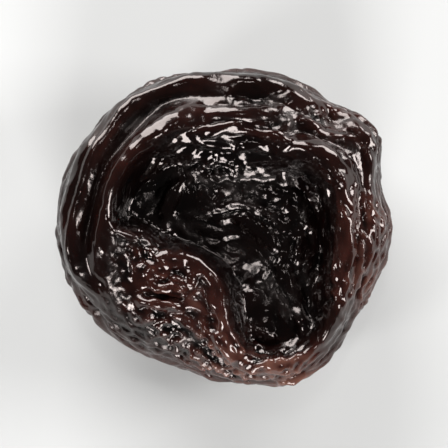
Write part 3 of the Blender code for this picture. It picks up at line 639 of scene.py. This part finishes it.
def ripples(points, family):
    """Height at each point, from about -1 to 1, of one family of wrinkles: overlapping waves whose
    phases are settled against their neighbours' so that the crests join up."""
    spacing = family.spacing
    directions = even_directions(int(CANDIDATES * SKIN_AREA / spacing**2))
    directions = directions[spread_out(folded_body(directions), WAVE_GAP * spacing)]
    centres = folded_body(directions)
    normals = normals_of(folded_body, directions)
    waves = np.cross(normals, wrinkle_runs(centres, normals, family)) * 2 * math.pi / spacing
    waves *= 1 + SPACING_SPREAD * drift(centres, SPACING_WAVE * spacing, family.seed + 1)[:, None]
    phases = np.random.default_rng(family.seed).uniform(0, 2 * math.pi, len(centres))
    settle(phases, centres, waves, spacing)
    total = np.zeros(len(points))
    weights = np.full(len(points), LEAST_WEIGHT)
    near_points = neighbours_of(centres, points, WAVE_REACH * spacing)
    for index, near in enumerate(near_points):
        gap = points[near] - centres[index]
        weight = np.exp(-(gap**2).sum(axis=1) / (WAVE_WIDTH * spacing) ** 2)
        total[near] += weight * np.cos(phases[index] + gap @ waves[index])
        weights[near] += weight
    wave = total / weights
    folded = 2 * np.sqrt(np.clip((1 + wave) / 2, 0, 1) + VALLEY_ROUNDING) - FOLDED_MEAN
    fade = FADE + FADE_SPREAD * drift(points, FADE_WAVE * spacing, family.seed + 3)
    return fade * (wave + family.sharpness * (folded - wave))


def settle(phases, centres, waves, spacing):
    """Turns the phase of each wave, several times over, to what its neighbours' waves tell it."""
    near_centres = neighbours_of(centres, centres, WAVE_REACH * spacing)
    for _ in range(SETTLING_ROUNDS):
        for index, near in enumerate(near_centres):
            gap = centres[index] - centres[near]
            agree = waves[near] @ waves[index]
            told = np.sign(agree) * (phases[near] + (gap * waves[near]).sum(axis=1))
            weight = np.exp(-(gap**2).sum(axis=1) / spacing**2) * np.abs(agree)
            weight[near == index] = 0
            phases[index] = np.angle((weight * np.exp(1j * told)).sum())


def spread_out(points, gap):
    """The indices of points that are at least a gap apart and fill the surface."""
    tree = kdtree.KDTree(len(points))
    for index, point in enumerate(points):
        tree.insert(point, index)
    tree.balance()
    free = np.ones(len(points), bool)
    kept = []
    for index, point in enumerate(points):
        if free[index]:
            kept.append(index)
            free[[near for _, near, _ in tree.find_range(point, gap)]] = False
    return kept


def neighbours_of(centres, points, reach):
    """For each centre, the indices of the points within reach of it."""
    tree = kdtree.KDTree(len(points))
    for index, point in enumerate(points):
        tree.insert(point, index)
    tree.balance()
    return [np.array([index for _, index, _ in tree.find_range(centre, reach)], int) for centre in centres]


def crest_share(points):
    """1 on the crest of a ridge, falling off past its feet."""
    share = np.zeros(len(points))
    plan = from_rim(points)
    for fold in FOLDS:
        if fold.height > 0:
            curve = smooth_curve(fold.points)
            reach = CREST_REACH * fold.half_width
            inside = (plan > curve.min(axis=0) - reach) & (plan < curve.max(axis=0) + reach)
            near = np.flatnonzero(inside.all(axis=1))
            beyond, across = along_and_across(curve, tangents_of(curve), plan[near])[1:3]
            away = np.hypot(across, beyond) / fold.half_width
            share[near] = np.maximum(share[near], np.exp(-CREST_NARROWNESS * away**2))
    return share * smoothstep(WAIST, TOP, points[:, 2])


def wrinkle_strength(points):
    """How strong the wrinkles are from place to place: weak on the rim's left and top, on the crests of
    ridges and in a few smooth spots, none where it lies."""
    angle = np.arctan2(points[:, 1], points[:, 0])
    radius = np.hypot(points[:, 0], points[:, 1]) / outline_radius(angle)
    on_top = smoothstep(SHOULDER, TOP, points[:, 2])
    side = 0.5 + 0.5 * np.cos(angle - math.radians(SLEEK_SIDE))
    rim = on_top * smoothstep(*SLEEK_RIM, radius) * smoothstep(*SLEEK_SIDE_SHARES, side)
    strength = (1 - SLEEK_RIM_LOSS * rim) * (1 - CREST_SMOOTHNESS * crest_share(points))
    for spot in SMOOTH_SPOTS:
        strength *= 1 - spot.amount * bump_round(points, spot)
    strength *= STRENGTH + STRENGTH_SPREAD * drift(points, STRENGTH_WAVE, seed=21)
    off_resting_spot = np.linalg.norm(points * (1, 1, UPWARD_WEIGHT), axis=1)
    return strength * smoothstep(*RESTING_SPOT, off_resting_spot)


def pebbles(points):
    """How high the small rounded bumps stand."""
    height = amount_of(points, PEBBLY_SPOTS)
    return height * (1 - CREST_SMOOTHNESS * crest_share(points)) * jumble(points, PEBBLE, seed=17)


def fine_pebbles(points):
    """How high the finest bumps stand, between and on the other ones."""
    height = FINE_PEBBLE_SHARE * amount_of(points, PEBBLY_SPOTS)
    smooth = 1 - FINE_CREST_SMOOTHNESS * crest_share(points)
    return height * smooth * jumble(points, FINE_PEBBLE, seed=29)


def outward_normals(points, faces):
    """Unit normals of a closed mesh of triangles at its points."""
    corners = points[faces]
    flat = np.cross(corners[:, 1] - corners[:, 0], corners[:, 2] - corners[:, 0])
    normals = np.zeros_like(points)
    for corner in range(3):
        np.add.at(normals, faces[:, corner], flat)
    return unit(normals)


def geodesic_ball(frequency):
    """Unit directions and triangles of an icosahedron whose edges are split into that many parts."""
    golden = (1 + math.sqrt(5)) / 2
    corners = unit(np.array([
        (-1, golden, 0), (1, golden, 0), (-1, -golden, 0), (1, -golden, 0),
        (0, -1, golden), (0, 1, golden), (0, -1, -golden), (0, 1, -golden),
        (golden, 0, -1), (golden, 0, 1), (-golden, 0, -1), (-golden, 0, 1),
    ], float))
    sides = (
        (0, 11, 5), (0, 5, 1), (0, 1, 7), (0, 7, 10), (0, 10, 11), (1, 5, 9), (5, 11, 4), (11, 10, 2),
        (10, 7, 6), (7, 1, 8), (3, 9, 4), (3, 4, 2), (3, 2, 6), (3, 6, 8), (3, 8, 9), (4, 9, 5),
        (2, 4, 11), (6, 2, 10), (8, 6, 7), (9, 8, 1),
    )
    rows = [(i, j) for i in range(frequency + 1) for j in range(frequency + 1 - i)]
    place = {pair: index for index, pair in enumerate(rows)}
    shares = np.array([(frequency - i - j, i, j) for i, j in rows]) / frequency
    one_side = []
    for i, j in rows:
        if i + j < frequency:
            one_side.append((place[i, j], place[i + 1, j], place[i, j + 1]))
        if i + j < frequency - 1:
            one_side.append((place[i + 1, j], place[i + 1, j + 1], place[i, j + 1]))
    points = np.vstack([shares @ corners[list(side)] for side in sides])
    faces = np.vstack([np.array(one_side) + index * len(rows) for index in range(len(sides))])
    rounded = np.round(points, decimals=6)
    _, first, same = np.unique(rounded, axis=0, return_index=True, return_inverse=True)
    return unit(points[first]), same.ravel()[faces]


def wrinkled(points, faces, on_top, ridge):
    """The folded body with its wrinkles and bumps, and how far they raise each point."""
    strength = wrinkle_strength(points)
    normals = outward_normals(points, faces)
    outside = smoothstep(*OUTER_SLOPES, normals[:, 2]) * smoothstep(*OUTER_DISTANCES, depth_in_bowl(points))
    stronger = 1 + STREAKS * ridge + OUTER_SHARE * on_top * outside
    rise = np.zeros(len(points))
    for family in WRINKLES + FINE_WRINKLES:
        height = family.height * strength * (1 - (1 - family.top_share) * on_top)
        if family in FINE_WRINKLES:
            height *= stronger
        ripple = height * ripples(points, family)
        points = points + normals * ripple[:, None]
        rise += ripple
    bumps = on_top * (pebbles(points) + fine_pebbles(points))
    bumps += CREST_UNEVENNESS * ridge * drift(points, CREST_WAVE, seed=43)
    return points + normals * bumps[:, None], rise + bumps


def red_and_bowl_shade(points):
    """How red the skin is, from 0 to 1, with the red taken out in the bowl as painted shade."""
    red = REDNESS + REDNESS_SPREAD * drift(points, REDNESS_WAVE, seed=31)
    not_under = UNDER_RED_SHARE + (1 - UNDER_RED_SHARE) * smoothstep(UNDER_RED_HEIGHT, TOP, points[:, 2])
    for spot in RED_SPOTS:
        red += spot.amount * bump_round(points, spot) * not_under
    # painted shade: the bowl loses most of its red, so that it is near black
    in_bowl = smoothstep(*BOWL_SHADE_EDGE, depth_in_bowl(points)) * (points[:, 2] > WAIST)
    return np.clip(red * (1 - BOWL_PAINTED_SHADE * in_bowl), 0, 1)


def skin_points(directions, faces):
    """Points of the prune's skin in metres, in the CAD's box, and for each how high it lies on its wrinkles
    and ridges, which also paints shade into the valleys, how red it is, with painted shade in the bowl, and
    how sleek."""
    folded = folded_body(directions)
    on_top = smoothstep(WAIST, TOP, folded[:, 2])
    ridge = crest_share(folded)
    points, rise = wrinkled(folded, faces, on_top, ridge)
    low = points.min(axis=0)
    high = points.max(axis=0)
    low[2] += FLAT_CUT
    points[:, 2] = np.maximum(points[:, 2], low[2])
    box_low, box_high = (np.array(corner) for corner in cad_box)
    placed = box_low + (points - low) / (high - low) * (box_high - box_low)
    depth = depth_in_bowl(points)
    wall = on_top * smoothstep(*WALL_TOP, depth) * smoothstep(*WALL_FOOT, depth)
    shares = {
        # crest: the skin's own redder crests, and painted shade that makes the valleys near black
        "crest": FLAT_CREST + rise / HIGH_RISE + RIDGE_CREST * ridge,
        # red: the skin's own red, taken out in the bowl as painted shade
        "red": red_and_bowl_shade(points),
        "sleek": np.maximum(np.maximum(ridge, wall), amount_of(points, WET_SPOTS)),
    }
    return placed, shares


def refined(directions, faces, longest):
    """The ball with the triangles split whose edges get too long on the folded body."""
    ball = bmesh.new()
    for direction in directions:
        ball.verts.new(direction)
    ball.verts.ensure_lookup_table()
    for face in faces:
        ball.faces.new([ball.verts[corner] for corner in face])
    for _ in range(SPLITTING_ROUNDS):
        ball.verts.index_update()
        points = folded_body(unit(np.array([vertex.co for vertex in ball.verts])))
        long = []
        for edge in ball.edges:
            one, two = edge.verts
            if np.linalg.norm(points[one.index] - points[two.index]) > longest:
                long.append(edge)
        bmesh.ops.subdivide_edges(ball, edges=long, cuts=1)
        bmesh.ops.triangulate(ball, faces=[face for face in ball.faces if len(face.verts) > 3])
    ball.verts.index_update()
    directions = unit(np.array([vertex.co for vertex in ball.verts]))
    faces = np.array([[vertex.index for vertex in face.verts] for face in ball.faces])
    ball.free()
    return directions, faces


def make_prune():
    directions, faces = refined(*geodesic_ball(BALL_FREQUENCY), LONGEST_EDGE)
    points, shares = skin_points(directions, faces)
    mesh = bpy.data.meshes.new("prune_skin")
    mesh.from_pydata(points.tolist(), [], faces.tolist())
    mesh.update()
    mesh.shade_smooth()
    for name, values in shares.items():
        layer = mesh.attributes.new(name, "FLOAT", "POINT")
        layer.data.foreach_set("value", values.astype(np.float32))
    prune = bpy.data.objects.new("prune_skin", mesh)
    bpy.context.scene.collection.objects.link(prune)
    mesh.materials.append(skin_material())
    return prune


def skin_material():
    """Dark skin that is redder on its crests, near black in its valleys and its bowl as painted shade, with
    a wet gloss.
    """
    material = bpy.data.materials.new("prune_skin")
    material.use_nodes = True
    tree = material.node_tree
    skin = tree.nodes["Principled BSDF"]
    skin.inputs["Specular Tint"].default_value = GLINT_COLOUR
    skin.inputs["Subsurface Weight"].default_value = GLOW_SHARE
    skin.inputs["Subsurface Radius"].default_value = GLOW_COLOUR_REACH
    skin.inputs["Subsurface Scale"].default_value = GLOW_REACH
    # the skin's redness times how high it lies, so that the valleys and the bowl take painted shade
    redness_and_shade = product(tree, kept(tree, "crest"), kept(tree, "red"))
    tree.links.new(skin_colour(tree, redness_and_shade), skin.inputs["Base Color"])
    place = tree.nodes.new("ShaderNodeTexCoord").outputs["Object"]
    sleek = kept(tree, "sleek")
    dryness = mapped(tree, noise(tree, place, DRYNESS_SCALE), DRYNESS_RANGE, ROUGHNESS)
    wetness = mapped(tree, sleek, SLEEK_RANGE, SLEEK_ROUGHNESS)
    tree.links.new(product(tree, dryness, wetness), skin.inputs["Roughness"])
    grain = tree.nodes.new("ShaderNodeBump")
    grain.inputs["Distance"].default_value = GRAIN_DEPTH
    tree.links.new(mapped(tree, sleek, SLEEK_RANGE, GRAIN_STRENGTH), grain.inputs["Strength"])
    tree.links.new(noise(tree, place, GRAIN_SCALE), grain.inputs["Height"])
    tree.links.new(grain.outputs["Normal"], skin.inputs["Normal"])
    return material


def skin_colour(tree, redness_and_shade):
    """The colour of skin from its redness and its painted shade: near black in the valleys and the bowl,
    redder on the crests.
    """
    ramp = tree.nodes.new("ShaderNodeValToRGB")
    # the valley end of the ramp is painted shade
    shaded_valley, crest = ramp.color_ramp.elements
    shaded_valley.color = SHADED_VALLEY_COLOUR
    crest.color = CREST_COLOUR
    slope = ramp.color_ramp.elements.new(SLOPE_LEVEL)
    slope.color = SLOPE_COLOUR
    tree.links.new(redness_and_shade, ramp.inputs["Fac"])
    return ramp.outputs["Color"]


def kept(tree, name):
    """The value that the mesh keeps for each of its points under that name."""
    attribute = tree.nodes.new("ShaderNodeAttribute")
    attribute.attribute_name = name
    return attribute.outputs["Fac"]


def product(tree, one, two):
    times = tree.nodes.new("ShaderNodeMath")
    times.operation = "MULTIPLY"
    tree.links.new(one, times.inputs[0])
    tree.links.new(two, times.inputs[1])
    return times.outputs["Value"]


def mapped(tree, value, old_range, new_range):
    """The value moved from one range to another."""
    ranges = tree.nodes.new("ShaderNodeMapRange")
    ranges.inputs["From Min"].default_value = old_range[0]
    ranges.inputs["From Max"].default_value = old_range[1]
    ranges.inputs["To Min"].default_value = new_range[0]
    ranges.inputs["To Max"].default_value = new_range[1]
    tree.links.new(value, ranges.inputs["Value"])
    return ranges.outputs["Result"]


def noise(tree, place, scale):
    """Fractal noise over the object, with about that many swells to a metre."""
    texture = tree.nodes.new("ShaderNodeTexNoise")
    texture.inputs["Scale"].default_value = scale
    texture.inputs["Detail"].default_value = NOISE_DETAIL
    tree.links.new(place, texture.inputs["Vector"])
    return texture.outputs["Fac"]


def make_floor():
    bpy.ops.mesh.primitive_plane_add(size=FLOOR_SIZE)
    floor = bpy.context.object
    floor.name = "floor"
    material = bpy.data.materials.new("floor")
    material.use_nodes = True
    paint = material.node_tree.nodes["Principled BSDF"]
    paint.inputs["Base Color"].default_value = FLOOR_COLOUR
    paint.inputs["Roughness"].default_value = FLOOR_ROUGHNESS
    floor.data.materials.append(material)


def put_up(name, data, place, aim):
    """A light or a camera in that place, turned to the point that it aims at."""
    thing = bpy.data.objects.new(name, data)
    bpy.context.scene.collection.objects.link(thing)
    thing.location = place
    thing.rotation_euler = (aim - thing.location).to_track_quat("-Z", "Y").to_euler()
    return thing


def make_lights():
    world = bpy.data.worlds.new("studio")
    world.use_nodes = True
    surroundings = world.node_tree.nodes["Background"]
    surroundings.inputs["Color"].default_value = WORLD_COLOUR
    surroundings.inputs["Strength"].default_value = WORLD_STRENGTH
    bpy.context.scene.world = world
    for light in LIGHTS:
        lamp = bpy.data.lights.new(light.name, "AREA")
        lamp.size = light.size
        lamp.energy = light.power
        put_up(light.name, lamp, light.place, LIGHTS_AIM)
    bpy.context.scene.view_settings.view_transform = "Standard"


def make_camera():
    middle = (cad_box[0] + cad_box[1]) / 2
    camera = bpy.data.cameras.new("camera")
    camera.lens = CAMERA_LENS
    bpy.context.scene.camera = put_up("camera", camera, middle + CAMERA_OFFSET, middle)


prune = make_prune()
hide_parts("prune")
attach(prune, "root")
make_floor()
make_lights()
make_camera()
